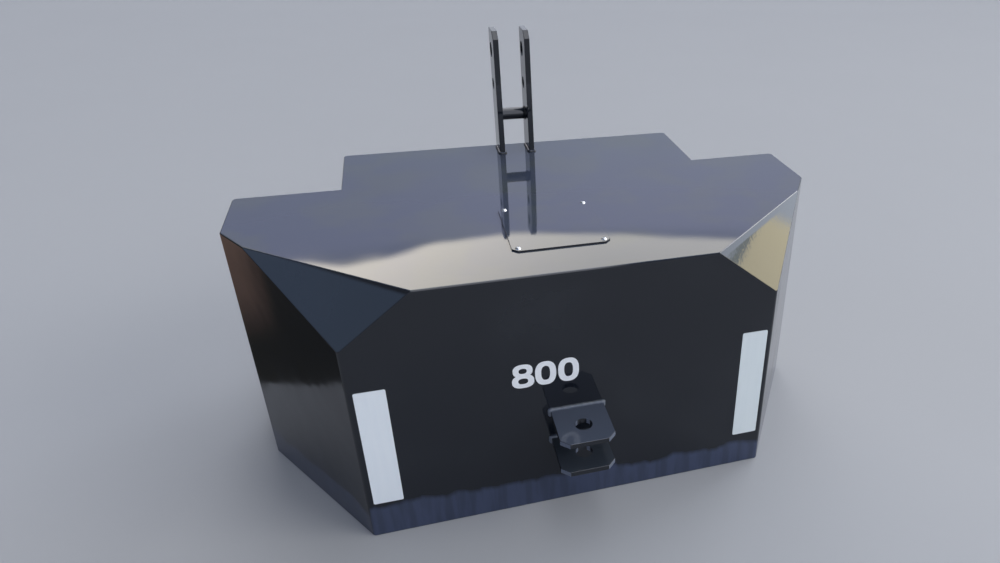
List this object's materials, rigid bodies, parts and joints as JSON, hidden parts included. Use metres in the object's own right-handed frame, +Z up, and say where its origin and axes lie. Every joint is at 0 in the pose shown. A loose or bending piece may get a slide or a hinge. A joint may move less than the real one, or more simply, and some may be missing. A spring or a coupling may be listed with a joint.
{
  "type": "three-point ballast weight",
  "caption": "Wide black steel ballast box full of concrete, with cut corners, a mast and side pins for a tractor's linkage, and a drawbar jaw in front.",
  "frame": {"origin": "on the ground, midway between the left and right sides and midway between the jaw's front and the rear plate", "axes": "+X to the right seen from the front, +Y towards the tractor, +Z up"},
  "size_m": [1.16, 0.758, 0.781],
  "materials": {
    "black_paint": "deep gloss black paint on welded steel plate",
    "zinc_plated_steel": "bright zinc plating",
    "seal_rubber": "matt",
    "concrete": "rough cast",
    "white_film": "white self-adhesive film, cut into the weight figures",
    "reflective_sheet": "white reflective sheet under a clear film"
  },
  "bodies": {
    "root": {"bottom_plate": "black_paint", "concrete_fill": "concrete", "front_plate": "black_paint", "hatch_cover": "black_paint", "hatch_screws": "zinc_plated_steel", "hatch_seal": "seal_rubber", "hatch_seat_frame": "black_paint", "hitch_lower_plate": "black_paint", "hitch_upper_plate": "black_paint", "left_block_plate": "black_paint", "left_cheek_plate": "black_paint", "left_corner_plate": "black_paint", "left_link_collar": "black_paint", "left_mast_plate": "black_paint", "left_reflector": "reflective_sheet", "left_side_plate": "black_paint", "left_wing_plate": "black_paint", "lower_link_shaft": "black_paint", "mast_spacer": "black_paint", "rear_plate": "black_paint", "right_block_plate": "black_paint", "right_cheek_plate": "black_paint", "right_corner_plate": "black_paint", "right_link_collar": "black_paint", "right_mast_plate": "black_paint", "right_reflector": "reflective_sheet", "right_side_plate": "black_paint", "right_wing_plate": "black_paint", "top_plate": "black_paint"}
  },
  "joints": []
}
